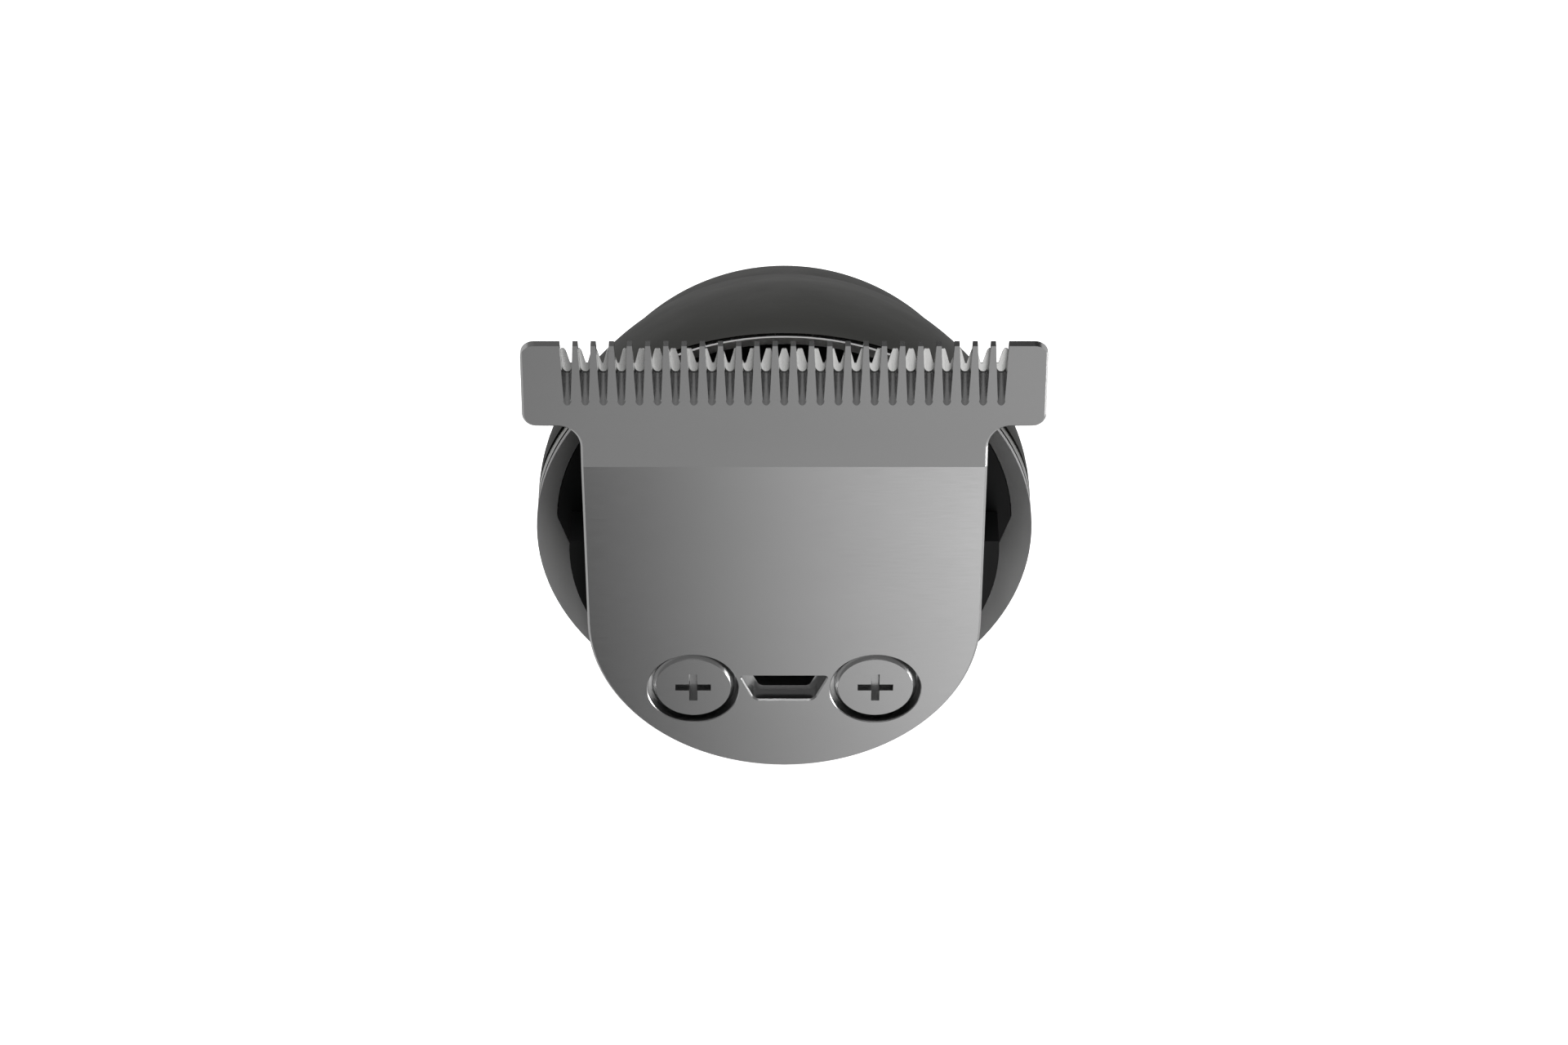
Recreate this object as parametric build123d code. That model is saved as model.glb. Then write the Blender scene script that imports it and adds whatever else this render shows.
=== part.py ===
from build123d import *
import os
from math import atan, cos, degrees, pi, radians, sin, tan

# Cordless pet clipper with an angled T-blade head. Millimetres, +Z up.
# Origin: centre of the foot, on the surface it stands on. -Y is the thumb side.

os.makedirs("parts", exist_ok=True)

# ---------------------------------------------------------------- driving dimensions
# Handle outline: height, half width in X, half depth in Y, centre in Y.
FOOT = (0.0, 13.6, 13.2, 0.0)
PALM = (77.0, 16.68, 16.66, 1.4)
WAIST = (99.0, 15.5, 15.1, 0.0)
HANDLE_STEPS = 7
PALM_STEPS = 3
NECK_STEPS = 5
NECK_DEPTH = 3.0
NECK_LEAN = 2.9
NECK_SET_FORWARD = 0.58
SHOULDER_BULGE = (0.32, 0.3)
WALL = 1.9
FOOT_PAD_H = 0.8
CAP_TOP_Z = 7.0
COLLAR_Z = 104.0
SHELL_SEAM_Y = 0.3
SEAM_GAP = 0.05
LAP_T = 0.8
LAP_GAP = 0.1
LAP_Y = (-1.2, 1.0)
LAP_Z = (20.0, 80.0)

# Foot: pad, cap and the posts for its screws. Openings are width, depth and corner radius.
PAD_INSET = 0.15
PAD_CHAMFER = 0.35
PAD_OPENING = (11.0, 5.2, 2.4)
CAP_OPENING = (9.3, 3.5, 1.7)
CAP_FLOOR_Z = 2.8
POST_R = 2.2
POST_CLEAR_R = 2.4
POST_PILOT_R = 1.05
POST_TOP_Z = 16.0
BASE_SCREW_SEAT_Z = 2.1
BASE_SCREW_CLEAR_R = 1.2

# Head: a round mouth in a plane tilted about X, with the blade parallel to it.
HEAD_TILT = 40.5
HEAD_Y = -2.7
HEAD_Z = 136.5
RING_R = 15.8
LIP_SLOPE = 37.0
SEAT_SLOPE = 45.0
LIP_INNER_R = 13.75
POCKET_R = 14.55
POCKET_END = 0.6
FLOOR_N = -0.95
BORE_R = 13.9
BORE_DEPTH = 6.0
RING_BLANK_H = 8.0
SEAT_GAP = 0.02
FLOOR_UNDER_N = -2.9
SKIRT_R = 13.6
SKIRT_DEPTH = 4.4
SKIRT_WALL = 1.4
CARRIER_FRONT_V = 0.95
CARRIER_HOLLOW = (-8.5, 8.5, -6.0, 2.0)
DRIVE_WINDOW = (-4.8, 4.8, -2.4, 10.6)

# Depth below the rim at the rear and at the front of the ring.
BEZEL_DROP = (0.15, 1.2)
TRIM_TOP_DROP = (0.26, 1.8)
TRIM_BOTTOM_DROP = (0.42, 4.4)
TRIM_R_IN = 14.6

# Fixed blade, in the head's plane: x across, v up the plate, n out of its face.
PLATE_BACK = 1.95
PLATE_FRONT = 4.0
PLATE_R = 12.55
PLATE_ARC_V = -4.27
BEND_V = 8.78
BEVEL = 10.5
EAR_V = 11.53
EAR_HALF = 16.1
TIP_V = 17.05
EAR_CORNER = 0.85
EAR_FILLET = 1.4
EDGE_CHAMFER = 0.14
SLOT_COUNT = 25
SLOT_PITCH = 1.107
SLOT_HALF_TIP = 0.417
SLOT_HALF_MID = 0.30
SLOT_HALF_ROOT = 0.215
SLOT_MID_V = 14.9
SLOT_ROOT_V = 13.4
SLOT_END_V = 13.02
SLOT_THROUGH_V = 14.6
SLOT_FLOOR_R = 0.31
SLOT_WIDEST = 0.45

# Moving blade and its drive.
MOVING_GAP = 0.06
MOVING_T = 0.95
MOVING_TIP_V = 16.41
MOVING_GULLET_V = 15.29
MOVING_WIDE_V = 11.75
MOVING_REAR_V = 4.6
MOVING_HALF = 14.3
MOVING_STEM_HALF = 8.5
MOVING_TEETH = 29
MOVING_PITCH = 0.966
GULLET_HALF = 0.06
EDGE_LAND = 0.08
GRIND_START_V = 14.2
TOOTH_HALF = 0.17
TOOTH_TIP_HALF = 0.09
RIVET_X = 5.5
RIVET_V = 7.5
RIVET_R = 0.88
RIVET_HOLE_R = 0.9
GUIDE_HALF = 8.0
GUIDE_FOOT_X = 5.2
GUIDE_REAR_V = 3.2
SPRING_X = 6.3
SPRING_HALF = 0.9
SPRING_T = 0.25
YOKE_HALF = 8.0
YOKE_V = (5.0, 10.6)
YOKE_UNDER_N = 0.1
FORK_HALF = 3.3
FORK_TOP_Z = 134.9
CRANK_RADIUS = 0.8
PIN_R = 1.0
PIN_CLEARANCE = 0.1
MOTOR_Y = 1.0
MOTOR_R = 10.0
MOTOR_FLAT = 7.6
MOTOR_CAP_H = 2.4
MOTOR_BOTTOM_Z = 93.0
MOTOR_TOP_Z = 121.0
SHAFT_R = 1.0
ARMATURE_R = 4.0
ARMATURE_GAP = 0.4
POLE_SLOT = (1.9, 0.7)
CAM_R = 3.6
CAM_BOTTOM_Z = 124.5
CAM_TOP_Z = 128.3
PIN_TOP_Z = 134.5
YOKE_BOTTOM_Z = 129.3

# Screws that hold the fixed blade.
BLADE_SCREW_X = 5.9
BLADE_SCREW_V = -9.9
BLADE_HEAD_R = 2.67
BLADE_HOLE_R = 2.95
BLADE_HEAD_TOP = 3.86
BLADE_HEAD_H = 0.95
BLADE_HEAD_SEAT_N = 2.8
BLADE_SHANK_R = 1.1
BLADE_PILOT_R = 1.15
BLADE_CLEAR_R = 1.35
BLADE_BOSS_R = 2.3
HOLE_EDGE = 0.5

# Slot between them: half width and height of its straight top, then of its bottom.
RELIEF_MOUTH = (2.82, -8.8, 1.9, -10.85)
RELIEF_THROUGH = (2.35, -8.9, 1.6, -10.45)
RELIEF_LEDGE_N = 3.05
RELIEF_FLARE = 0.1

# Inside of the handle.
BATTERY_R = 9.1
BATTERY_Y = 1.9
BATTERY_Z = (16.0, 81.0)
BATTERY_CAP_H = 0.8
BOARD_Y = (-9.6, -8.4)
BOARD_Z = (24.0, 90.0)
BOARD_HALF = 6.0
BOARD_SCREWS = [(x, z) for z in (30.0, 76.0) for x in (-3.6, 3.6)]
CONTACT_HALF = 3.5
CONTACT_T = 0.2
CRADLE_HALF = 7.6
CRADLE_BACK_Y = -7.35
CRADLE_Z = (16.5, 91.0)
HOOPS_Z = (24.0, 46.0, 68.0)
HOOP_H = 4.0
CHIPS = [(38.0, 2.5, 2.5), (50.0, 2.0, 3.0), (62.0, 1.6, 1.6)]
CHIP_T = 1.0
SWITCH_HALF = 3.0
SWITCH_T = 1.6
BASE_SCREW_X = 10.0
MOTOR_SCREW_X = 6.5
BUTTON_Z = 86.0
BUTTON_R = 4.8
BUTTON_GAP = 0.3
BUTTON_FACE_Y = -16.0
BUTTON_TRAVEL = 0.6
BUTTON_DISH_R = 16.0
THUMB_DISH_R = 7.2
THUMB_DISH_Y = -17.4
THUMB_EDGE_Y = -14.6
LED_Z = 70.0
LED_R = 1.2
LED_HOLE_R = 1.25
SOCKET_HALF = (4.47, 1.58)
SOCKET_Z = (1.0, 8.4)
SOCKET_WALL = 0.3

TILT = radians(HEAD_TILT)
HEAD = Plane(origin=(0, HEAD_Y, HEAD_Z), x_dir=(1, 0, 0), z_dir=(0, -sin(TILT), cos(TILT)))
FAR = 60.0


# ---------------------------------------------------------------- helpers
def save(name, shape):
    export_step(shape, f"parts/{name}.step")


def on_head(shape):
    """Places a shape drawn in the head's own frame (x, v, n)."""
    return HEAD * shape


def disc(radius, low, high, x=0.0, y=0.0):
    """Upright cylinder between two heights."""
    return Pos(x, y, low) * Cylinder(radius, high - low, align=(Align.CENTER, Align.CENTER, Align.MIN))


def ring(outer, inner, low, high, x=0.0, y=0.0):
    return disc(outer, low, high, x, y) - disc(inner, low - 1, high + 1, x, y)


def block(x0, x1, y0, y1, z0, z1):
    size = (x1 - x0, y1 - y0, z1 - z0)
    return Pos((x0 + x1) / 2, (y0 + y1) / 2, (z0 + z1) / 2) * Box(*size)


def across(points, half):
    """Side profile in (y, z), extruded to both sides along X."""
    face = Plane.YZ * make_face(Polyline(*points, close=True))
    return extrude(face, amount=half, both=True)


def ease(start, end, share):
    """Goes from start to end with no slope at either."""
    return start + (end - start) * (1 - cos(pi * share)) / 2


def grip_sections(low, high, steps, inset):
    """Level ellipses that swell or shrink smoothly between two outlines."""
    sections = []
    for step in range(steps):
        share = step / steps
        height = low[0] + (high[0] - low[0]) * share
        half_x, half_y, centre_y = (ease(low[i], high[i], share) for i in (1, 2, 3))
        sections.append(Pos(0, centre_y, height) * Ellipse(half_x - inset, half_y - inset))
    return sections


def neck_sections(inset):
    """Ellipses from the waist to the mouth that lean over as they rise."""
    mouth = HEAD.from_local_coords(Vector(0, 0, -NECK_DEPTH))
    sections = []
    for step in range(NECK_STEPS + 1):
        share = step / NECK_STEPS
        half_x = ease(WAIST[1], RING_R, share) + SHOULDER_BULGE[0] * sin(pi * share)
        half_v = ease(WAIST[2], RING_R - 0.01, share) + SHOULDER_BULGE[1] * sin(pi * share)
        centre_y = WAIST[3] + (mouth.Y - WAIST[3]) * share - NECK_SET_FORWARD * sin(pi * share)
        height = WAIST[0] + (mouth.Z - WAIST[0]) * share
        place = Pos(0, centre_y, height) * Rot(HEAD_TILT * share**NECK_LEAN, 0, 0)
        sections.append(place * Ellipse(half_x - inset, half_v - inset))
    return sections


def body_solid(inset=0.0, top=0.0):
    """The handle from foot to mouth; an inset makes the space inside its wall."""
    rim = HEAD * Pos(0, 0, top) * Ellipse(RING_R - inset, RING_R - inset - 0.01)
    sections = grip_sections(FOOT, PALM, HANDLE_STEPS, inset)
    sections += grip_sections(PALM, WAIST, PALM_STEPS, inset)
    return loft(sections + neck_sections(inset) + [rim])


def above_seat(drop, slope):
    """Everything above a conical seat, tilted so it lies deeper at the front."""
    rear, front = drop
    rise = tan(radians(slope))
    outline = Polyline((0, -RING_R * rise), (FAR, (FAR - RING_R) * rise), (0, FAR * rise), close=True)
    solid = revolve(Plane.XZ * make_face(outline), axis=Axis.Z)
    lean = degrees(atan((front - rear) / (2 * RING_R)))
    hinge = Pos(0, RING_R, -rear)
    return hinge * Rot(lean, 0, 0) * Pos(0, -RING_R, 0) * solid


def cross_recess(half_length, half_width, depth):
    """Tool for a cross recess cut down from n = 0."""
    arms = Rectangle(2 * half_length, 2 * half_width) + Rectangle(2 * half_width, 2 * half_length)
    return extrude(arms, amount=-depth, taper=4)


def screw(head_r, head_h, shank_r, length, recess=1.0):
    """Pan-head screw, head top at 0, shank pointing down."""
    head = disc(head_r, -head_h, 0)
    head = chamfer(head.edges().sort_by(Axis.Z)[-1], head_h * 0.26)
    shank = disc(shank_r, -head_h - length, -head_h)
    point = chamfer(shank.edges().sort_by(Axis.Z)[0], shank_r * 0.45)
    return head + point - cross_recess(head_r * 0.43, head_r * 0.1, recess)


# ---------------------------------------------------------------- outer casings
OUTER = body_solid()
INNER = body_solid(inset=WALL, top=2.0)


def wall_between(low, high):
    """The handle's wall between two heights."""
    return (OUTER - INNER) & block(-FAR, FAR, -FAR, FAR, low, high)


def foot_pad():
    pad = extrude(Ellipse(FOOT[1] - PAD_INSET, FOOT[2] - PAD_INSET), amount=FOOT_PAD_H)
    pad = chamfer(pad.edges().sort_by(Axis.Z)[0], PAD_CHAMFER)
    pad -= extrude(RectangleRounded(*PAD_OPENING), amount=FOOT_PAD_H)
    for x in (-BASE_SCREW_X, BASE_SCREW_X):
        pad -= disc(POST_CLEAR_R, -1, 2, x)
    return pad


def base_cap():
    cap = OUTER & block(-FAR, FAR, -FAR, FAR, FOOT_PAD_H, CAP_TOP_Z - SEAM_GAP)
    cap -= INNER & block(-FAR, FAR, -FAR, FAR, CAP_FLOOR_Z, FAR)
    cap -= extrude(RectangleRounded(*CAP_OPENING), amount=CAP_TOP_Z)
    for x in (-BASE_SCREW_X, BASE_SCREW_X):
        cap += disc(POST_R, CAP_FLOOR_Z, CAP_TOP_Z - SEAM_GAP, x)
        cap -= disc(POST_R, 0, BASE_SCREW_SEAT_Z, x) + disc(BASE_SCREW_CLEAR_R, 0, FAR, x)
    return cap


def screw_post(x):
    """Boss on the rear casing that takes a base screw."""
    return disc(POST_R, CAP_TOP_Z, POST_TOP_Z, x) - disc(POST_PILOT_R, 0, POST_TOP_Z - 1, x)


def rear_shell():
    side = block(-FAR, FAR, SHELL_SEAM_Y, FAR, 0, FAR * 3)
    shell = wall_between(CAP_TOP_Z, COLLAR_Z - SEAM_GAP) & side
    filled = OUTER & block(-FAR, FAR, -FAR, FAR, CAP_TOP_Z, COLLAR_Z)
    for x in (-BASE_SCREW_X, BASE_SCREW_X):
        shell += filled & screw_post(x)
    lap = body_solid(WALL - LAP_GAP / 2) - body_solid(WALL + LAP_T)
    return shell + (lap & block(-FAR, FAR, *LAP_Y, *LAP_Z))


def front_shell():
    side = block(-FAR, FAR, -FAR, SHELL_SEAM_Y - SEAM_GAP, 0, FAR * 3)
    shell = wall_between(CAP_TOP_Z, COLLAR_Z - SEAM_GAP) & side
    for x in (-BASE_SCREW_X, BASE_SCREW_X):
        shell -= disc(POST_CLEAR_R, 0, POST_TOP_Z + 0.2, x)
    # the lap of the rear casing sits behind this edge
    lap = body_solid(WALL - LAP_GAP) - body_solid(WALL + LAP_T + 2 * LAP_GAP)
    shell -= lap & block(-FAR, FAR, LAP_Y[0] - LAP_GAP, FAR, LAP_Z[0] - LAP_GAP, LAP_Z[1] + LAP_GAP)
    button_hole = Pos(0, 0, BUTTON_Z) * Rot(90, 0, 0) * Cylinder(BUTTON_R + BUTTON_GAP, FAR)
    led_hole = Pos(0, 0, LED_Z) * Rot(90, 0, 0) * Cylinder(LED_HOLE_R, FAR)
    recess = Pos(0, THUMB_DISH_Y, BUTTON_Z) * Sphere(THUMB_DISH_R)
    recess &= block(-FAR, FAR, -FAR, THUMB_EDGE_Y, 0, FAR * 3)
    return shell - button_hole - led_hole - recess


def neck_collar():
    collar = wall_between(COLLAR_Z, FAR * 3)
    rear, front = TRIM_BOTTOM_DROP
    collar -= on_head(above_seat((rear + SEAT_GAP, front + SEAT_GAP), SEAT_SLOPE))
    return collar - on_head(disc(BORE_R, -BORE_DEPTH, FAR))


# ---------------------------------------------------------------- head rings
def head_ring(top, bottom, inner_r):
    """Ring on the head's axis between two seats."""
    return (ring(RING_R, inner_r, -RING_BLANK_H, 0) & bottom) - top


def pocket():
    """Space behind the teeth: a round pocket with slanted corners where it meets the carrier."""
    corner = POCKET_R * 0.999
    low = POCKET_END - 2.5
    outline = Polyline((-corner, POCKET_END), (-LIP_INNER_R, low), (LIP_INNER_R, low),
                       (corner, POCKET_END), (corner, FAR), (-corner, FAR), close=True)
    return disc(POCKET_R, -3, 3) & extrude(make_face(outline), amount=3, both=True)


def bezel_ring():
    lip = above_seat((0, 0), LIP_SLOPE)
    return on_head(head_ring(lip, above_seat(BEZEL_DROP, SEAT_SLOPE), LIP_INNER_R) - pocket())


def chrome_trim_ring():
    top = above_seat(TRIM_TOP_DROP, SEAT_SLOPE)
    return on_head(head_ring(top, above_seat(TRIM_BOTTOM_DROP, SEAT_SLOPE), TRIM_R_IN))


# ---------------------------------------------------------------- head body
WINDOW = block(*DRIVE_WINDOW, -9, 3)


def head_base():
    """Black floor of the mouth with a skirt that plugs into the neck."""
    floor = disc(SKIRT_R, FLOOR_UNDER_N, FLOOR_N)
    ledge = (disc(POCKET_R - 0.05, -2.6, FLOOR_N) & pocket()) & above_seat((0.2, 1.2), SEAT_SLOPE)
    skirt = ring(SKIRT_R, SKIRT_R - SKIRT_WALL, -SKIRT_DEPTH, FLOOR_N)
    base = floor + ledge + skirt - WINDOW
    for x in (-BLADE_SCREW_X, BLADE_SCREW_X):
        base += disc(BLADE_BOSS_R, -SKIRT_DEPTH, FLOOR_UNDER_N + 0.1, x, BLADE_SCREW_V) & disc(SKIRT_R, -9, 9)
        base -= disc(BLADE_PILOT_R, -SKIRT_DEPTH - 1, 5, x, BLADE_SCREW_V)
    return on_head(base)


def blade_carrier():
    """Black block that the fixed blade is screwed to."""
    carrier = disc(LIP_INNER_R - 0.1, FLOOR_N, PLATE_BACK)
    carrier &= block(-FAR, FAR, -FAR, CARRIER_FRONT_V, -FAR, FAR)
    carrier -= block(*CARRIER_HOLLOW, -2, 1)
    for x in (-BLADE_SCREW_X, BLADE_SCREW_X):
        carrier -= disc(BLADE_PILOT_R, -2, 5, x, BLADE_SCREW_V)
    return on_head(carrier)


def plate_outline():
    """The T outline, left long at the tips."""
    long_v = TIP_V + 2
    neck_top = EAR_V + 1
    neck = Pos(0, (PLATE_ARC_V + neck_top) / 2) * Rectangle(2 * PLATE_R, neck_top - PLATE_ARC_V)
    ears = Pos(0, (EAR_V + long_v) / 2) * Rectangle(2 * EAR_HALF, long_v - EAR_V)
    outline = Pos(0, PLATE_ARC_V) * Circle(PLATE_R) + neck + ears
    inside = [p for p in outline.vertices() if abs(abs(p.X) - PLATE_R) < 0.01 and abs(p.Y - EAR_V) < 0.01]
    outline = fillet(inside, EAR_FILLET)
    outside = [p for p in outline.vertices() if abs(abs(p.X) - EAR_HALF) < 0.01 and p.Y < TIP_V]
    return fillet(outside, EAR_CORNER)


def tooth_slot():
    """Tool for one slot: tapered in plan, with a round sloping floor that runs out to the front face."""
    beyond = TIP_V + 0.5
    left = [(-SLOT_HALF_TIP, beyond), (-SLOT_HALF_MID, SLOT_MID_V), (-SLOT_HALF_ROOT, SLOT_ROOT_V)]
    right = [(-x, y) for x, y in reversed(left)]
    sides = Polyline(*left) + Polyline(*right) + Line(left[0], right[-1])
    end = ThreePointArc(left[-1], (0, SLOT_END_V), right[0])
    plan = extrude(make_face(sides + end), amount=6)
    face_n = PLATE_FRONT - (SLOT_END_V - BEND_V) * tan(radians(BEVEL))
    fall = (SLOT_THROUGH_V - SLOT_END_V, PLATE_BACK - face_n)
    channel = Plane(origin=(0, SLOT_END_V, face_n), x_dir=(1, 0, 0), z_dir=(0, *fall))
    profile = Pos(0, -SLOT_FLOOR_R) * Circle(SLOT_FLOOR_R)
    profile += Pos(0, -SLOT_FLOOR_R - 3) * Rectangle(2 * SLOT_WIDEST, 6)
    return plan & extrude(channel * profile, amount=8, both=True)


def fixed_blade():
    plate = Pos(0, 0, PLATE_BACK) * extrude(plate_outline(), amount=PLATE_FRONT - PLATE_BACK)
    drop = tan(radians(BEVEL)) * (FAR - BEND_V)
    plate -= across([(BEND_V, PLATE_FRONT), (FAR, PLATE_FRONT - drop), (FAR, FAR), (BEND_V, FAR)], FAR)
    front = [e for e in plate.edges() if e.center().Z > PLATE_BACK + 0.3]
    rim = [e for e in front if e.length > 0.3 and not is_across(e) and not is_upright(e)]
    plate = chamfer(rim, EDGE_CHAMFER)
    plate &= extrude(Pos(0, TIP_V - FAR / 2) * RectangleRounded(2 * EAR_HALF, FAR, EAR_CORNER), amount=9)
    for x in (-BLADE_SCREW_X, BLADE_SCREW_X):
        plate -= disc(BLADE_HOLE_R, BLADE_HEAD_SEAT_N, 6, x, BLADE_SCREW_V)
        plate -= disc(BLADE_CLEAR_R, 0, 6, x, BLADE_SCREW_V)
        bevel = Cone(BLADE_HOLE_R - 0.4 * HOLE_EDGE, BLADE_HOLE_R + 0.6 * HOLE_EDGE, HOLE_EDGE)
        plate -= Pos(x, BLADE_SCREW_V, PLATE_FRONT) * bevel
    plate -= relief_slot()
    slots = []
    for index in range(SLOT_COUNT):
        slots.append(Pos((index - (SLOT_COUNT - 1) / 2) * SLOT_PITCH, 0, 0) * tooth_slot())
    return on_head(plate - slots)


def is_across(edge):
    """True for the long straight edges across the plate."""
    box = edge.bounding_box()
    return box.size.X > 20 and box.size.Y < 0.1


def is_upright(edge):
    box = edge.bounding_box()
    return box.size.Z > 0.25 and box.size.X < 0.01 and box.size.Y < 0.01


def slot_outline(half, top, low_half, low):
    """D-shaped outline, straight above and round-cornered below."""
    outline = make_face(Polyline((-half, top), (half, top), (low_half, low), (-low_half, low), close=True))
    outline = fillet(outline.vertices().group_by(Axis.Y)[0], 0.55 * (top - low) / 2)
    return fillet(outline.vertices().group_by(Axis.Y)[-1], 0.15)


def relief_slot():
    """Stepped slot between the screws, narrower behind its ledge."""
    outer = slot_outline(*RELIEF_MOUTH)
    mouth = Pos(0, 0, RELIEF_LEDGE_N) * extrude(outer, amount=2)
    flare = Pos(0, 0, PLATE_FRONT - RELIEF_FLARE) * extrude(outer, amount=4 * RELIEF_FLARE, taper=-40)
    return mouth + flare + extrude(slot_outline(*RELIEF_THROUGH), amount=6)


def blade_screws():
    one = Pos(0, 0, BLADE_HEAD_TOP) * screw(BLADE_HEAD_R, BLADE_HEAD_H, BLADE_SHANK_R, length=5.4, recess=0.8)
    both = [Pos(x, BLADE_SCREW_V, 0) * one for x in (-BLADE_SCREW_X, BLADE_SCREW_X)]
    return on_head(both[0] + both[1])


def blade_guide():
    """Rail that keeps the moving blade square."""
    rail = block(-GUIDE_HALF, GUIDE_HALF, GUIDE_REAR_V, MOVING_REAR_V - 0.15, 0.2, PLATE_BACK)
    feet = block(-GUIDE_HALF, GUIDE_HALF, CARRIER_FRONT_V, GUIDE_REAR_V + 1, FLOOR_N, 0.2)
    feet -= block(-GUIDE_FOOT_X, GUIDE_FOOT_X, -FAR, FAR, -FAR, FAR)
    return on_head(rail + feet)


def blade_spring():
    """Two leaves that press the moving blade against the fixed one."""
    profile = [(4.4, FLOOR_N), (5.6, FLOOR_N), (10.8, -0.5), (11.6, -0.6), (11.6, -0.35), (10.8, -0.25),
               (5.6, FLOOR_N + SPRING_T), (4.4, FLOOR_N + SPRING_T)]
    leaf = across(profile, SPRING_HALF)
    return on_head(Pos(-SPRING_X, 0, 0) * leaf + Pos(SPRING_X, 0, 0) * leaf)


# ---------------------------------------------------------------- cutter
def moving_blade():
    """Comb whose gaps are ground away from below, so the teeth come to thin edges at the cutting face."""
    top = PLATE_BACK - MOVING_GAP
    wide = block(-MOVING_HALF, MOVING_HALF, MOVING_WIDE_V, GRIND_START_V, top - MOVING_T, top)
    stem = block(-MOVING_STEM_HALF, MOVING_STEM_HALF, MOVING_REAR_V, MOVING_WIDE_V, top - MOVING_T, top)
    half_root = MOVING_PITCH / 2
    outline = [(-MOVING_HALF, GRIND_START_V)]
    for index in range(MOVING_TEETH):
        x = (index - (MOVING_TEETH - 1) / 2) * MOVING_PITCH
        outline += [(x - half_root + GULLET_HALF, MOVING_GULLET_V), (x - TOOTH_HALF, MOVING_TIP_V - 0.1),
                    (x - TOOTH_TIP_HALF, MOVING_TIP_V), (x + TOOTH_TIP_HALF, MOVING_TIP_V),
                    (x + TOOTH_HALF, MOVING_TIP_V - 0.1), (x + half_root - GULLET_HALF, MOVING_GULLET_V)]
    outline.append((MOVING_HALF, GRIND_START_V))
    comb = Pos(0, 0, top) * make_face(Polyline(*outline, close=True))
    edge = extrude(comb, amount=-EDGE_LAND)
    ground = Pos(0, 0, -EDGE_LAND) * extrude(comb, amount=2 * MOVING_T, dir=(0, -1, -1))
    blade = wide + stem + edge + (ground & block(-FAR, FAR, MOVING_WIDE_V, FAR, top - MOVING_T, top))
    for x in (-RIVET_X, RIVET_X):
        blade -= disc(RIVET_HOLE_R, 0, 3, x, RIVET_V)
    return on_head(blade)


def cutter_yoke():
    """Plastic fork that carries the moving blade on the crank pin."""
    plate_top = PLATE_BACK - MOVING_GAP - MOVING_T
    plate = block(-YOKE_HALF, YOKE_HALF, *YOKE_V, YOKE_UNDER_N, plate_top)
    for x in (-RIVET_X, RIVET_X):
        plate -= disc(RIVET_HOLE_R, -1, 3, x, RIVET_V)
    limit = HEAD * block(-FAR, FAR, -FAR, FAR, -FAR, plate_top)
    arm = block(-FORK_HALF, FORK_HALF, 2.0, 5.0, YOKE_BOTTOM_Z, 146) & limit
    slot_half = PIN_R + PIN_CLEARANCE
    fork = block(-FORK_HALF, FORK_HALF, -2.6, 5.0, YOKE_BOTTOM_Z, FORK_TOP_Z)
    slot = block(-slot_half, slot_half, -1.9, 9, 100, FORK_TOP_Z)
    return on_head(plate) + arm + fork - slot


def yoke_rivets():
    top = PLATE_BACK - MOVING_GAP - 0.1
    rivets = [disc(RIVET_R, YOKE_UNDER_N, top, x, RIVET_V) for x in (-RIVET_X, RIVET_X)]
    return on_head(rivets[0] + rivets[1])


# ---------------------------------------------------------------- motor
def motor_can():
    """Flat-sided can with its magnets, open inside for the armature."""
    can = disc(MOTOR_R, MOTOR_BOTTOM_Z, MOTOR_TOP_Z, 0, MOTOR_Y)
    can &= block(-MOTOR_R, MOTOR_R, MOTOR_Y - MOTOR_FLAT, MOTOR_Y + MOTOR_FLAT, 0, 200)
    can = fillet(can.edges().group_by(Axis.Z)[-1], 0.8)
    can -= disc(3.0, MOTOR_TOP_Z - 1.2, MOTOR_TOP_Z + 1, 0, MOTOR_Y)
    for x in (-MOTOR_SCREW_X, MOTOR_SCREW_X):
        can -= disc(0.97, MOTOR_TOP_Z - 1.8, MOTOR_TOP_Z + 1, x, MOTOR_Y)
    can -= disc(ARMATURE_R + ARMATURE_GAP, MOTOR_BOTTOM_Z - 1, MOTOR_TOP_Z - 2, 0, MOTOR_Y)
    return can - disc(1.5, MOTOR_BOTTOM_Z - 1, MOTOR_TOP_Z + 1, 0, MOTOR_Y)


def motor_end_cap():
    cap = disc(MOTOR_R - 0.4, MOTOR_BOTTOM_Z - MOTOR_CAP_H, MOTOR_BOTTOM_Z, 0, MOTOR_Y)
    cap &= block(-MOTOR_R, MOTOR_R, MOTOR_Y - MOTOR_FLAT + 0.4, MOTOR_Y + MOTOR_FLAT - 0.4, 0, 200)
    return cap + disc(3, MOTOR_BOTTOM_Z - MOTOR_CAP_H * 1.5, MOTOR_BOTTOM_Z - MOTOR_CAP_H, 0, MOTOR_Y)


def motor_terminals():
    low, high = MOTOR_BOTTOM_Z - 6, MOTOR_BOTTOM_Z - MOTOR_CAP_H
    tabs = [block(x - 1, x + 1, MOTOR_Y - 0.15, MOTOR_Y + 0.15, low, high) for x in (-6, 6)]
    return tabs[0] + tabs[1]


def motor_bush():
    return ring(2.95, SHAFT_R + 0.04, MOTOR_TOP_Z - 1.2, MOTOR_TOP_Z + 1.4, 0, MOTOR_Y)


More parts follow.
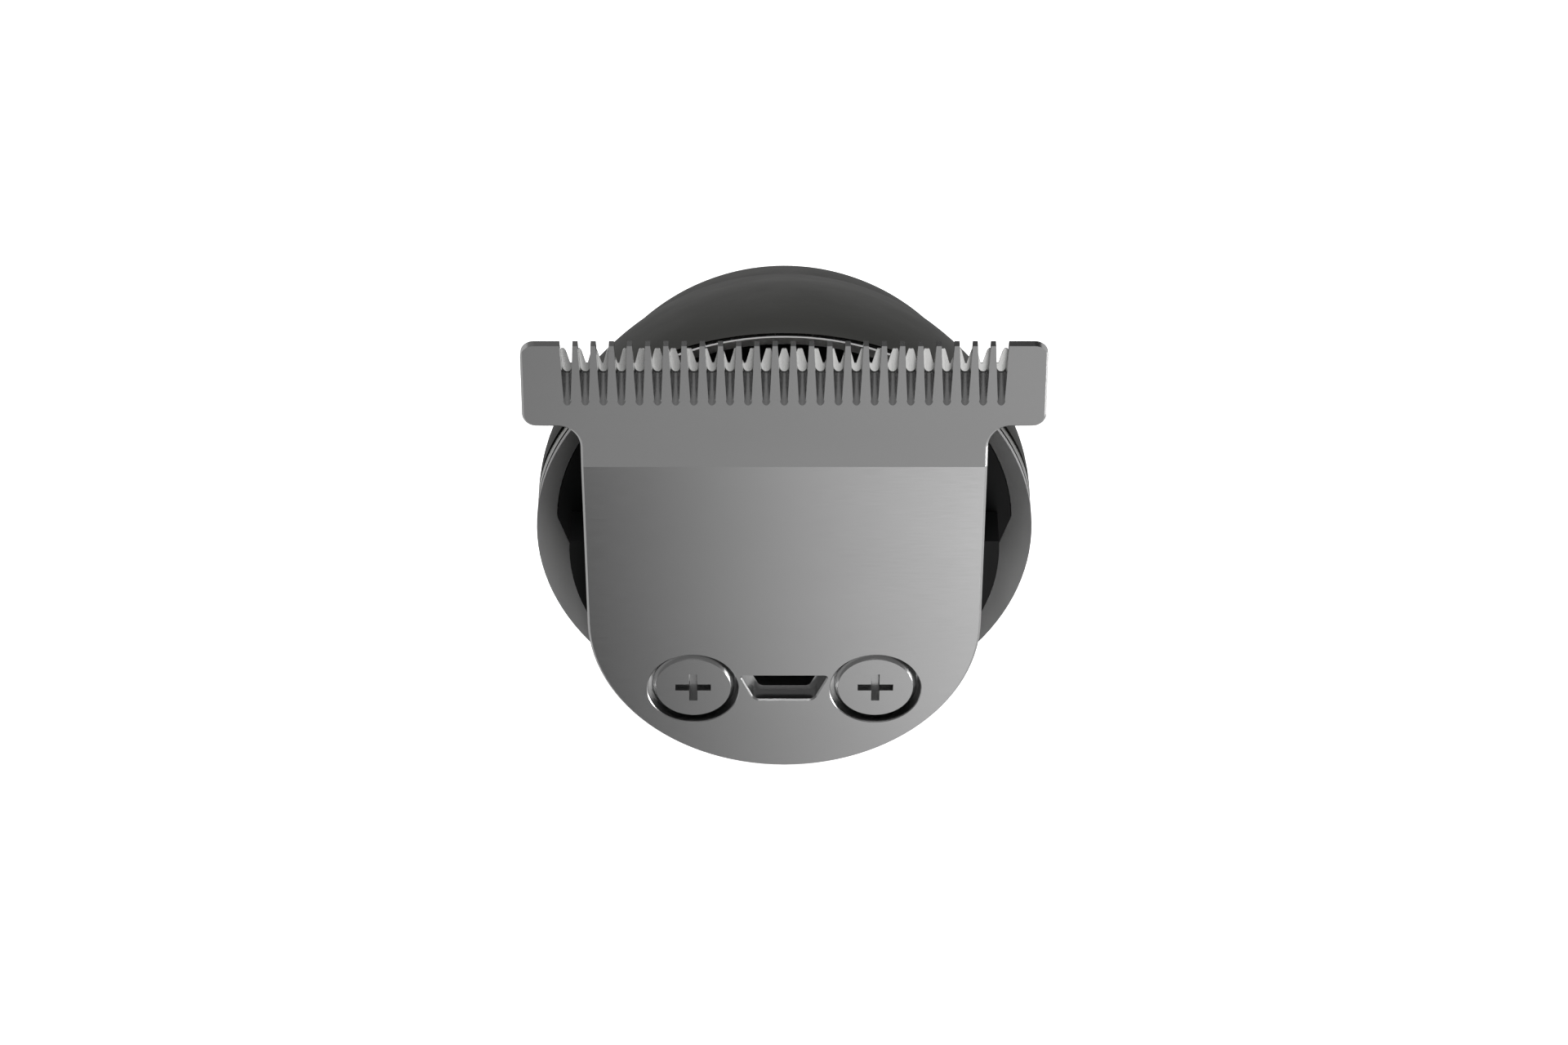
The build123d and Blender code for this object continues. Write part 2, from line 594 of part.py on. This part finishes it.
def motor_mount():
    """Plate across the neck that the motor is screwed to."""
    low, high = MOTOR_TOP_Z + 0.05, MOTOR_TOP_Z + 1.6
    plate = body_solid(WALL + 0.1, 2.0) & block(-FAR, FAR, -FAR, FAR, low, high)
    plate -= disc(3.2, 0, 200, 0, MOTOR_Y)
    for x in (-MOTOR_SCREW_X, MOTOR_SCREW_X):
        plate -= disc(1.1, 0, 200, x, MOTOR_Y)
    return plate


def motor_screws():
    one = screw(1.9, 1.0, shank_r=0.95, length=3.2, recess=0.6)
    both = [Pos(x, MOTOR_Y, MOTOR_TOP_Z + 2.6) * one for x in (-MOTOR_SCREW_X, MOTOR_SCREW_X)]
    return both[0] + both[1]


def motor_shaft():
    return disc(SHAFT_R, MOTOR_BOTTOM_Z + 2, CAM_TOP_Z, 0, MOTOR_Y)


def rotor_core():
    """Three-pole armature on the shaft, inside the can."""
    low, high = MOTOR_BOTTOM_Z + 4, MOTOR_TOP_Z - 4
    core = ring(ARMATURE_R, SHAFT_R, low, high, 0, MOTOR_Y)
    inner, half = POLE_SLOT
    slot = block(inner, ARMATURE_R + 1, -half, half, low - 1, high + 1)
    for turn in (0, 120, 240):
        core -= Pos(0, MOTOR_Y, 0) * Rot(0, 0, turn) * slot
    return core


def eccentric_cam():
    cam = disc(CAM_R, CAM_BOTTOM_Z, CAM_TOP_Z, 0, MOTOR_Y)
    cam = chamfer(cam.edges(), 0.3)
    cam -= disc(SHAFT_R, 0, 200, 0, MOTOR_Y)
    return cam


def crank_pin():
    pin = disc(PIN_R, CAM_TOP_Z, PIN_TOP_Z, 0, MOTOR_Y - CRANK_RADIUS)
    return chamfer(pin.edges().sort_by(Axis.Z)[-1], 0.25)


# ---------------------------------------------------------------- battery, board, controls
def battery_cell():
    low, high = BATTERY_Z
    cell = disc(BATTERY_R, low, high, 0, BATTERY_Y)
    cell = fillet(cell.edges(), 0.6)
    return cell + disc(3, high, high + BATTERY_CAP_H, 0, BATTERY_Y)


def battery_contacts():
    low, high = BATTERY_Z
    depth = (BATTERY_Y - BATTERY_R - 0.1, BATTERY_Y + 3)
    top = block(-CONTACT_HALF, CONTACT_HALF, *depth, high + BATTERY_CAP_H, high + BATTERY_CAP_H + CONTACT_T)
    bottom = block(-CONTACT_HALF, CONTACT_HALF, *depth, low - CONTACT_T, low)
    return top + bottom


def inner_chassis():
    """Cradle between the battery and the circuit board."""
    cradle = block(-CRADLE_HALF, CRADLE_HALF, BOARD_Y[1] + 0.1, CRADLE_BACK_Y, *CRADLE_Z)
    for z in HOOPS_Z:
        hoop = ring(BATTERY_R + 1.4, BATTERY_R + 0.1, z, z + HOOP_H, 0, BATTERY_Y)
        cradle += hoop & block(-FAR, FAR, -8.0, BATTERY_Y + 5, 0, 200)
    for x, z in BOARD_SCREWS:
        cradle -= Pos(x, -8, z) * Rot(90, 0, 0) * Cylinder(0.95, 3)
    return cradle


def circuit_board():
    board = block(-BOARD_HALF, BOARD_HALF, *BOARD_Y, *BOARD_Z)
    for x, z in BOARD_SCREWS:
        board -= Pos(x, 0, z) * Rot(90, 0, 0) * Cylinder(1.0, FAR)
    return board


def board_screws():
    one = Rot(90, 0, 0) * screw(1.5, 0.8, shank_r=0.9, length=2.0, recess=0.5)
    screws = Part()
    for x, z in BOARD_SCREWS:
        screws += Pos(x, BOARD_Y[0] - 0.8, z) * one
    return screws


def control_chips():
    chips = Part()
    for z, half_x, half_z in CHIPS:
        chips += block(-half_x, half_x, BOARD_Y[0] - CHIP_T, BOARD_Y[0], z - half_z, z + half_z)
    return chips


def power_switch():
    low, high = BUTTON_Z - SWITCH_HALF, BUTTON_Z + SWITCH_HALF
    base = block(-SWITCH_HALF, SWITCH_HALF, BOARD_Y[0] - SWITCH_T, BOARD_Y[0], low, high)
    plunger = Pos(0, BOARD_Y[0] - SWITCH_T, BUTTON_Z) * Rot(90, 0, 0) * Cylinder(1.7, 1.2)
    return base + plunger


def power_button():
    """Round push button with a dished face."""
    back_y = BOARD_Y[0] - 2.2 - BUTTON_TRAVEL - 0.15
    depth = back_y - BUTTON_FACE_Y
    cap = Pos(0, (BUTTON_FACE_Y + back_y) / 2, BUTTON_Z) * Rot(90, 0, 0) * Cylinder(BUTTON_R, depth)
    cap = fillet(cap.edges().sort_by(Axis.Y)[0], 0.5)
    dish = Pos(0, BUTTON_FACE_Y - BUTTON_DISH_R + 0.4, BUTTON_Z) * Sphere(BUTTON_DISH_R)
    return cap - dish


def led_lens():
    lens = Pos(0, -14.05, LED_Z) * Rot(90, 0, 0) * Cylinder(LED_R, 2.9)
    return fillet(lens.edges().sort_by(Axis.Y)[0], 0.3)


def charging_socket():
    wide, deep = 2 * SOCKET_HALF[0], 2 * SOCKET_HALF[1]
    height = SOCKET_Z[1] - SOCKET_Z[0]
    shell = extrude(RectangleRounded(wide, deep, 1.5), amount=height)
    inside = RectangleRounded(wide - 2 * SOCKET_WALL, deep - 2 * SOCKET_WALL, 1.5 - SOCKET_WALL)
    return Pos(0, 0, SOCKET_Z[0]) * (shell - extrude(inside, amount=height - 2 * SOCKET_WALL))


def socket_tongue():
    return block(-3.2, 3.2, -0.35, 0.35, 2.0, 7.8)


def base_screws():
    one = Rot(180, 0, 0) * screw(2.0, 1.1, shank_r=1.0, length=9, recess=0.6)
    return Pos(-BASE_SCREW_X, 0, 0.95) * one + Pos(BASE_SCREW_X, 0, 0.95) * one


# ---------------------------------------------------------------- write every piece
NODES = {
    "foot_pad": foot_pad,
    "base_cap": base_cap,
    "base_screws": base_screws,
    "rear_shell": rear_shell,
    "front_shell": front_shell,
    "neck_collar": neck_collar,
    "chrome_trim_ring": chrome_trim_ring,
    "bezel_ring": bezel_ring,
    "head_base": head_base,
    "blade_carrier": blade_carrier,
    "fixed_blade": fixed_blade,
    "blade_screws": blade_screws,
    "blade_guide": blade_guide,
    "blade_spring": blade_spring,
    "moving_blade": moving_blade,
    "cutter_yoke": cutter_yoke,
    "yoke_rivets": yoke_rivets,
    "motor_can": motor_can,
    "motor_end_cap": motor_end_cap,
    "motor_terminals": motor_terminals,
    "motor_bush": motor_bush,
    "motor_mount": motor_mount,
    "motor_screws": motor_screws,
    "motor_shaft": motor_shaft,
    "rotor_core": rotor_core,
    "eccentric_cam": eccentric_cam,
    "crank_pin": crank_pin,
    "battery_cell": battery_cell,
    "battery_contacts": battery_contacts,
    "inner_chassis": inner_chassis,
    "circuit_board": circuit_board,
    "board_screws": board_screws,
    "control_chips": control_chips,
    "power_switch": power_switch,
    "power_button": power_button,
    "led_lens": led_lens,
    "charging_socket": charging_socket,
    "socket_tongue": socket_tongue,
}

for node_name, build in NODES.items():
    save(node_name, build())
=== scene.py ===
"""Cordless pet clipper seen end-on from its blade: finishes, light and camera round the CAD frame."""

import math

import bpy
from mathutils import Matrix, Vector

HEAD_TILT = math.radians(40.5)

# Floor and cards, in metres. The cards' ramps are (x, strength) at each end.
FLOOR_HALF = 2.5
FLOOR_GLOW = 0.93
BOUNCE_DEPTH = 0.001
BOUNCE_GLOW = 0.6
CARD_FADE = 0.10

# Lights: place, size and power in watts. All of them aim at a point on the handle's axis.
TOP_SIZE = (0.25, 0.25)
TOP_POWER = 4
TOP_AIM = (0, 0, 0.12)
SIDE_SIZE = (0.15, 0.35)
SIDE_POWER = 2.2
SIDE_AIM = (0, 0, 0.09)
WORLD_GLOW = 0.2

# Camera straight above the blade, with its lens in millimetres.
SENSOR = 36
LENS = 94.6875
SHIFT_X = -0.00015625
CAMERA_PLACE = (0, -0.00205, 0.400)

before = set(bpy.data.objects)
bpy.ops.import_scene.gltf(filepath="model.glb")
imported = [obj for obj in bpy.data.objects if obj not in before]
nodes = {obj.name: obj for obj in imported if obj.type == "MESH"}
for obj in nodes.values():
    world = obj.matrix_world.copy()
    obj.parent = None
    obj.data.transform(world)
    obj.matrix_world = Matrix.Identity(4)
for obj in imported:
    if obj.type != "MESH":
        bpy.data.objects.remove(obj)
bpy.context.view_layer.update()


# ---------------------------------------------------------------- materials
class Finish:
    """One procedural material, with its nodes laid down in order."""

    def __init__(self, name):
        self.material = bpy.data.materials.new(name)
        self.material.use_nodes = True
        self.tree = self.material.node_tree
        self.tree.nodes.clear()
        self.shader = self.add("ShaderNodeBsdfPrincipled")
        output = self.add("ShaderNodeOutputMaterial")
        self.link(self.shader.outputs["BSDF"], output.inputs["Surface"])
        self.coords = self.add("ShaderNodeTexCoord").outputs["Object"]

    def add(self, kind):
        return self.tree.nodes.new(kind)

    def link(self, a, b):
        self.tree.links.new(a, b)

    def noise(self, scale, detail=4.0, stretch=(1, 1, 1), tilt=0.0):
        """Noise with features of about 1 / scale metres, stretched along axes that can be tilted."""
        place = self.add("ShaderNodeMapping")
        place.vector_type = "TEXTURE"
        place.inputs["Rotation"].default_value = (tilt, 0, 0)
        place.inputs["Scale"].default_value = stretch
        self.link(self.coords, place.inputs["Vector"])
        noise = self.add("ShaderNodeTexNoise")
        noise.inputs["Scale"].default_value = scale
        noise.inputs["Detail"].default_value = detail
        self.link(place.outputs["Vector"], noise.inputs["Vector"])
        return noise.outputs["Fac"]

    def span(self, value, low, high, start=0.25, end=0.75):
        node = self.add("ShaderNodeMapRange")
        node.inputs["From Min"].default_value = start
        node.inputs["From Max"].default_value = end
        node.inputs["To Min"].default_value = low
        node.inputs["To Max"].default_value = high
        self.link(value, node.inputs["Value"])
        return node.outputs["Result"]

    def colours(self, value, dark, light):
        ramp = self.add("ShaderNodeValToRGB")
        ramp.color_ramp.elements[0].position = 0.3
        ramp.color_ramp.elements[1].position = 0.7
        ramp.color_ramp.elements[0].color = (*dark, 1)
        ramp.color_ramp.elements[1].color = (*light, 1)
        self.link(value, ramp.inputs["Fac"])
        self.link(ramp.outputs["Color"], self.shader.inputs["Base Color"])

    def roughness(self, value, low, high):
        self.link(self.span(value, low, high), self.shader.inputs["Roughness"])

    def bump(self, *layers):
        """Stacked bumps; each layer is (height, depth in metres, strength)."""
        last = None
        for height, depth, strength in layers:
            node = self.add("ShaderNodeBump")
            node.inputs["Strength"].default_value = strength
            node.inputs["Distance"].default_value = depth
            self.link(height, node.inputs["Height"])
            if last is not None:
                self.link(last, node.inputs["Normal"])
            last = node.outputs["Normal"]
        self.link(last, self.shader.inputs["Normal"])

    def set(self, **values):
        for key, value in values.items():
            self.shader.inputs[key.replace("_", " ")].default_value = value
        return self


def shade(colour, factor):
    return tuple(min(1.0, c * factor) for c in colour)


def plastic(name, colour, rough, grain=2600, depth=0.000012, specular=0.4, vary=0.06):
    """Moulded plastic with a fine spark-eroded grain and faint handling marks."""
    f = Finish(name)
    cloud = f.noise(70, 3)
    f.colours(cloud, shade(colour, 1 - vary), shade(colour, 1 + vary))
    f.roughness(f.noise(260, 5), rough - 0.05, rough + 0.05)
    f.bump((f.noise(grain, 2), depth, 0.5), (f.noise(180, 3), 0.00002, 0.08))
    f.shader.inputs["Specular IOR Level"].default_value = specular
    return f.material


def ground_metal(name, colour, rough, along=(1, 1, 1), tilt=0.0, vary=0.05, grain=9000, strength=0.12,
                 spread=0.05, metallic=1.0):
    """Metal with grinding lines, stretched along one axis, and slow changes of tone."""
    f = Finish(name)
    lines = f.noise(grain, 3, along, tilt)
    f.colours(f.noise(140, 4, (2, 1, 1), tilt), shade(colour, 1 - vary), shade(colour, 1 + vary))
    f.roughness(lines, rough - spread, rough + spread)
    f.bump((lines, 0.000004, strength), (f.noise(400, 3), 0.00001, 0.05))
    return f.set(Metallic=metallic).material


MATERIALS = {
    "rubber": plastic("rubber", (0.018, 0.018, 0.019), 0.85, 1500, 0.00003, 0.3),
    "body_plastic": plastic("body_plastic", (0.033, 0.033, 0.031), 0.6, 2600, 0.000012, 0.2),
    "black_plastic": plastic("black_plastic", (0.0045, 0.0045, 0.0047), 0.5, 2200, 0.00001, 0.2),
    "trim_chrome": ground_metal("trim_chrome", (0.30, 0.30, 0.29),
                                0.26, (1, 1, 1), 0, 0.03, 5000, 0.03, 0.03),
    "bezel_metal": ground_metal("bezel_metal", (0.50, 0.50, 0.50),
                                0.5, (6, 1, 1), HEAD_TILT, 0.04, 6000, 0.05, 0.05, 0.3),
    "blade_steel": ground_metal("blade_steel", (0.50, 0.50, 0.50),
                                0.22, (14, 1, 1), HEAD_TILT, 0.02, 9000, 0.03, 0.02),
    "blade_screw_steel": ground_metal("blade_screw_steel", (0.48, 0.48, 0.48),
                                      0.22, (5, 1, 1), HEAD_TILT, 0.02, 7000, 0.02, 0.02),
    "cutter_steel": ground_metal("cutter_steel", (0.78, 0.78, 0.77),
                                 0.26, (1, 14, 1), HEAD_TILT, 0.03, 9000, 0.04, 0.03),
    "spring_steel": ground_metal("spring_steel", (0.58, 0.57, 0.55), 0.25, (8, 1, 1), HEAD_TILT),
    "screw_steel": ground_metal("screw_steel", (0.50, 0.50, 0.49), 0.32, (3, 3, 1)),
    "motor_steel": ground_metal("motor_steel", (0.56, 0.56, 0.55), 0.3, (1, 1, 12)),
    "nickel": ground_metal("nickel", (0.66, 0.62, 0.55), 0.24, (6, 1, 1)),
    "brass": ground_metal("brass", (0.72, 0.50, 0.20), 0.36, (1, 1, 4)),
    "guide_plastic": plastic("guide_plastic", (0.70, 0.70, 0.66), 0.42, 2400, 0.00001, 0.45, 0.03),
    "chassis_plastic": plastic("chassis_plastic", (0.06, 0.06, 0.066), 0.5),
    "battery_wrap": plastic("battery_wrap", (0.05, 0.13, 0.34), 0.3, 900, 0.000008, 0.5),
    "board_green": plastic("board_green", (0.012, 0.12, 0.045), 0.32, 1400, 0.00001, 0.5, 0.1),
    "chip_black": plastic("chip_black", (0.015, 0.015, 0.016), 0.55, 3000, 0.00001, 0.4),
    "button_plastic": plastic("button_plastic", (0.016, 0.016, 0.017), 0.34, 2600, 0.000006, 0.5),
    "lens": plastic("lens", (0.60, 0.72, 0.80), 0.3, 1800, 0.000006, 0.5, 0.03),
}

for name, node in nodes.items():
    for index, slot in enumerate(node.material_slots):
        wanted = slot.material.name.split(".")[0]
        if wanted not in MATERIALS:
            raise SystemExit(f"{name} has slot {slot.material.name}")
        node.material_slots[index].material = MATERIALS[wanted]


# ---------------------------------------------------------------- studio
def stage_plane(name, corners, material):
    mesh = bpy.data.meshes.new(name)
    mesh.from_pydata(corners, [], [(0, 1, 2, 3)])
    plane = bpy.data.objects.new(name, mesh)
    bpy.context.scene.collection.objects.link(plane)
    mesh.materials.append(material)
    return plane


def floor_corners(height):
    half = FLOOR_HALF
    return [(-half, -half, height), (half, -half, height), (half, half, height), (-half, half, height)]


floor_finish = Finish("floor_paper")
floor_finish.colours(floor_finish.noise(3, 2), (0.86, 0.86, 0.86), (0.88, 0.88, 0.88))
floor_finish.set(Roughness=0.95)
floor_finish.shader.inputs["Emission Color"].default_value = (1, 1, 1, 1)
floor_finish.shader.inputs["Emission Strength"].default_value = FLOOR_GLOW
floor = stage_plane("floor", floor_corners(0), floor_finish.material)
floor.visible_glossy = False
floor.visible_diffuse = False

# What the object sees below it is dimmer than the paper that the camera sees.
bounce_finish = Finish("floor_bounce")
bounce_finish.set(Base_Color=(0, 0, 0, 1), Roughness=1.0)
bounce_finish.set(Emission_Color=(1, 1, 1, 1), Emission_Strength=BOUNCE_GLOW)
bounce = stage_plane("floor_bounce", floor_corners(-BOUNCE_DEPTH), bounce_finish.material)
bounce.visible_camera = False


def card(name, centre, width, height, low, high, dim=(0.0, 1.0)):
    """Upright glowing card that the camera doesn't see.

    Its light runs from low to high, each (x, strength). Below the height that dim begins with,
    it is multiplied by the factor that dim ends with.
    """
    glow = bpy.data.materials.new(name)
    glow.use_nodes = True
    tree = glow.node_tree
    tree.nodes.clear()
    coords = tree.nodes.new("ShaderNodeTexCoord")
    split = tree.nodes.new("ShaderNodeSeparateXYZ")
    ramp = tree.nodes.new("ShaderNodeMapRange")
    light = tree.nodes.new("ShaderNodeEmission")
    output = tree.nodes.new("ShaderNodeOutputMaterial")
    ramp.inputs["From Min"].default_value = low[0]
    ramp.inputs["To Min"].default_value = low[1]
    ramp.inputs["From Max"].default_value = high[0]
    ramp.inputs["To Max"].default_value = high[1]
    tree.links.new(coords.outputs["Object"], split.inputs["Vector"])
    fade = tree.nodes.new("ShaderNodeMapRange")
    fade.inputs["From Min"].default_value = dim[0]
    fade.inputs["From Max"].default_value = dim[0] + CARD_FADE
    fade.inputs["To Min"].default_value = dim[1]
    product = tree.nodes.new("ShaderNodeMath")
    product.operation = "MULTIPLY"
    tree.links.new(split.outputs["X"], ramp.inputs["Value"])
    tree.links.new(split.outputs["Z"], fade.inputs["Value"])
    tree.links.new(ramp.outputs["Result"], product.inputs[0])
    tree.links.new(fade.outputs["Result"], product.inputs[1])
    tree.links.new(product.outputs["Value"], light.inputs["Strength"])
    tree.links.new(light.outputs["Emission"], output.inputs["Surface"])
    x, y, z = centre
    corners = [(x - width / 2, y, z - height / 2), (x + width / 2, y, z - height / 2),
               (x + width / 2, y, z + height / 2), (x - width / 2, y, z + height / 2)]
    plane = stage_plane(name, corners, glow)
    plane.visible_camera = False
    return plane


card("front_card_low", (0, -0.25, 0.105), 0.5, 0.19, (-0.026, 0.03), (0.045, 2.1), (0.11, 0.30))
card("front_card_high", (0, -0.25, 0.30), 0.5, 0.20, (-0.10, 0.18), (0.08, 0.68))
card("rear_card", (0, 0.30, 0.16), 0.6, 0.32, (-0.06, 0.22), (0.06, 0.03))


def area(name, place, target, size, power):
    data = bpy.data.lights.new(name, "AREA")
    data.shape = "RECTANGLE"
    data.size, data.size_y = size
    data.energy = power
    light = bpy.data.objects.new(name, data)
    bpy.context.scene.collection.objects.link(light)
    light.location = place
    aim = Vector(target) - Vector(place)
    light.rotation_mode = "QUATERNION"
    light.rotation_quaternion = aim.to_track_quat("-Z", "Y")
    return light


area("key_light", (0.20, 0.50, 0.90), TOP_AIM, TOP_SIZE, TOP_POWER)
area("side_light", (0.62, -0.34, 0.16), SIDE_AIM, SIDE_SIZE, SIDE_POWER)
area("fill_light", (-0.16, 0.50, 0.92), TOP_AIM, TOP_SIZE, TOP_POWER)

world = bpy.data.worlds.new("studio")
world.use_nodes = True
world.node_tree.nodes["Background"].inputs["Color"].default_value = (1, 1, 1, 1)
world.node_tree.nodes["Background"].inputs["Strength"].default_value = WORLD_GLOW
bpy.context.scene.world = world

camera_data = bpy.data.cameras.new("camera")
camera_data.sensor_width = SENSOR
camera_data.lens = LENS
camera_data.shift_x = SHIFT_X
camera_data.clip_start = 0.01
camera = bpy.data.objects.new("camera", camera_data)
bpy.context.scene.collection.objects.link(camera)
camera.location = CAMERA_PLACE
bpy.context.scene.camera = camera
bpy.context.scene.view_settings.view_transform = "Standard"
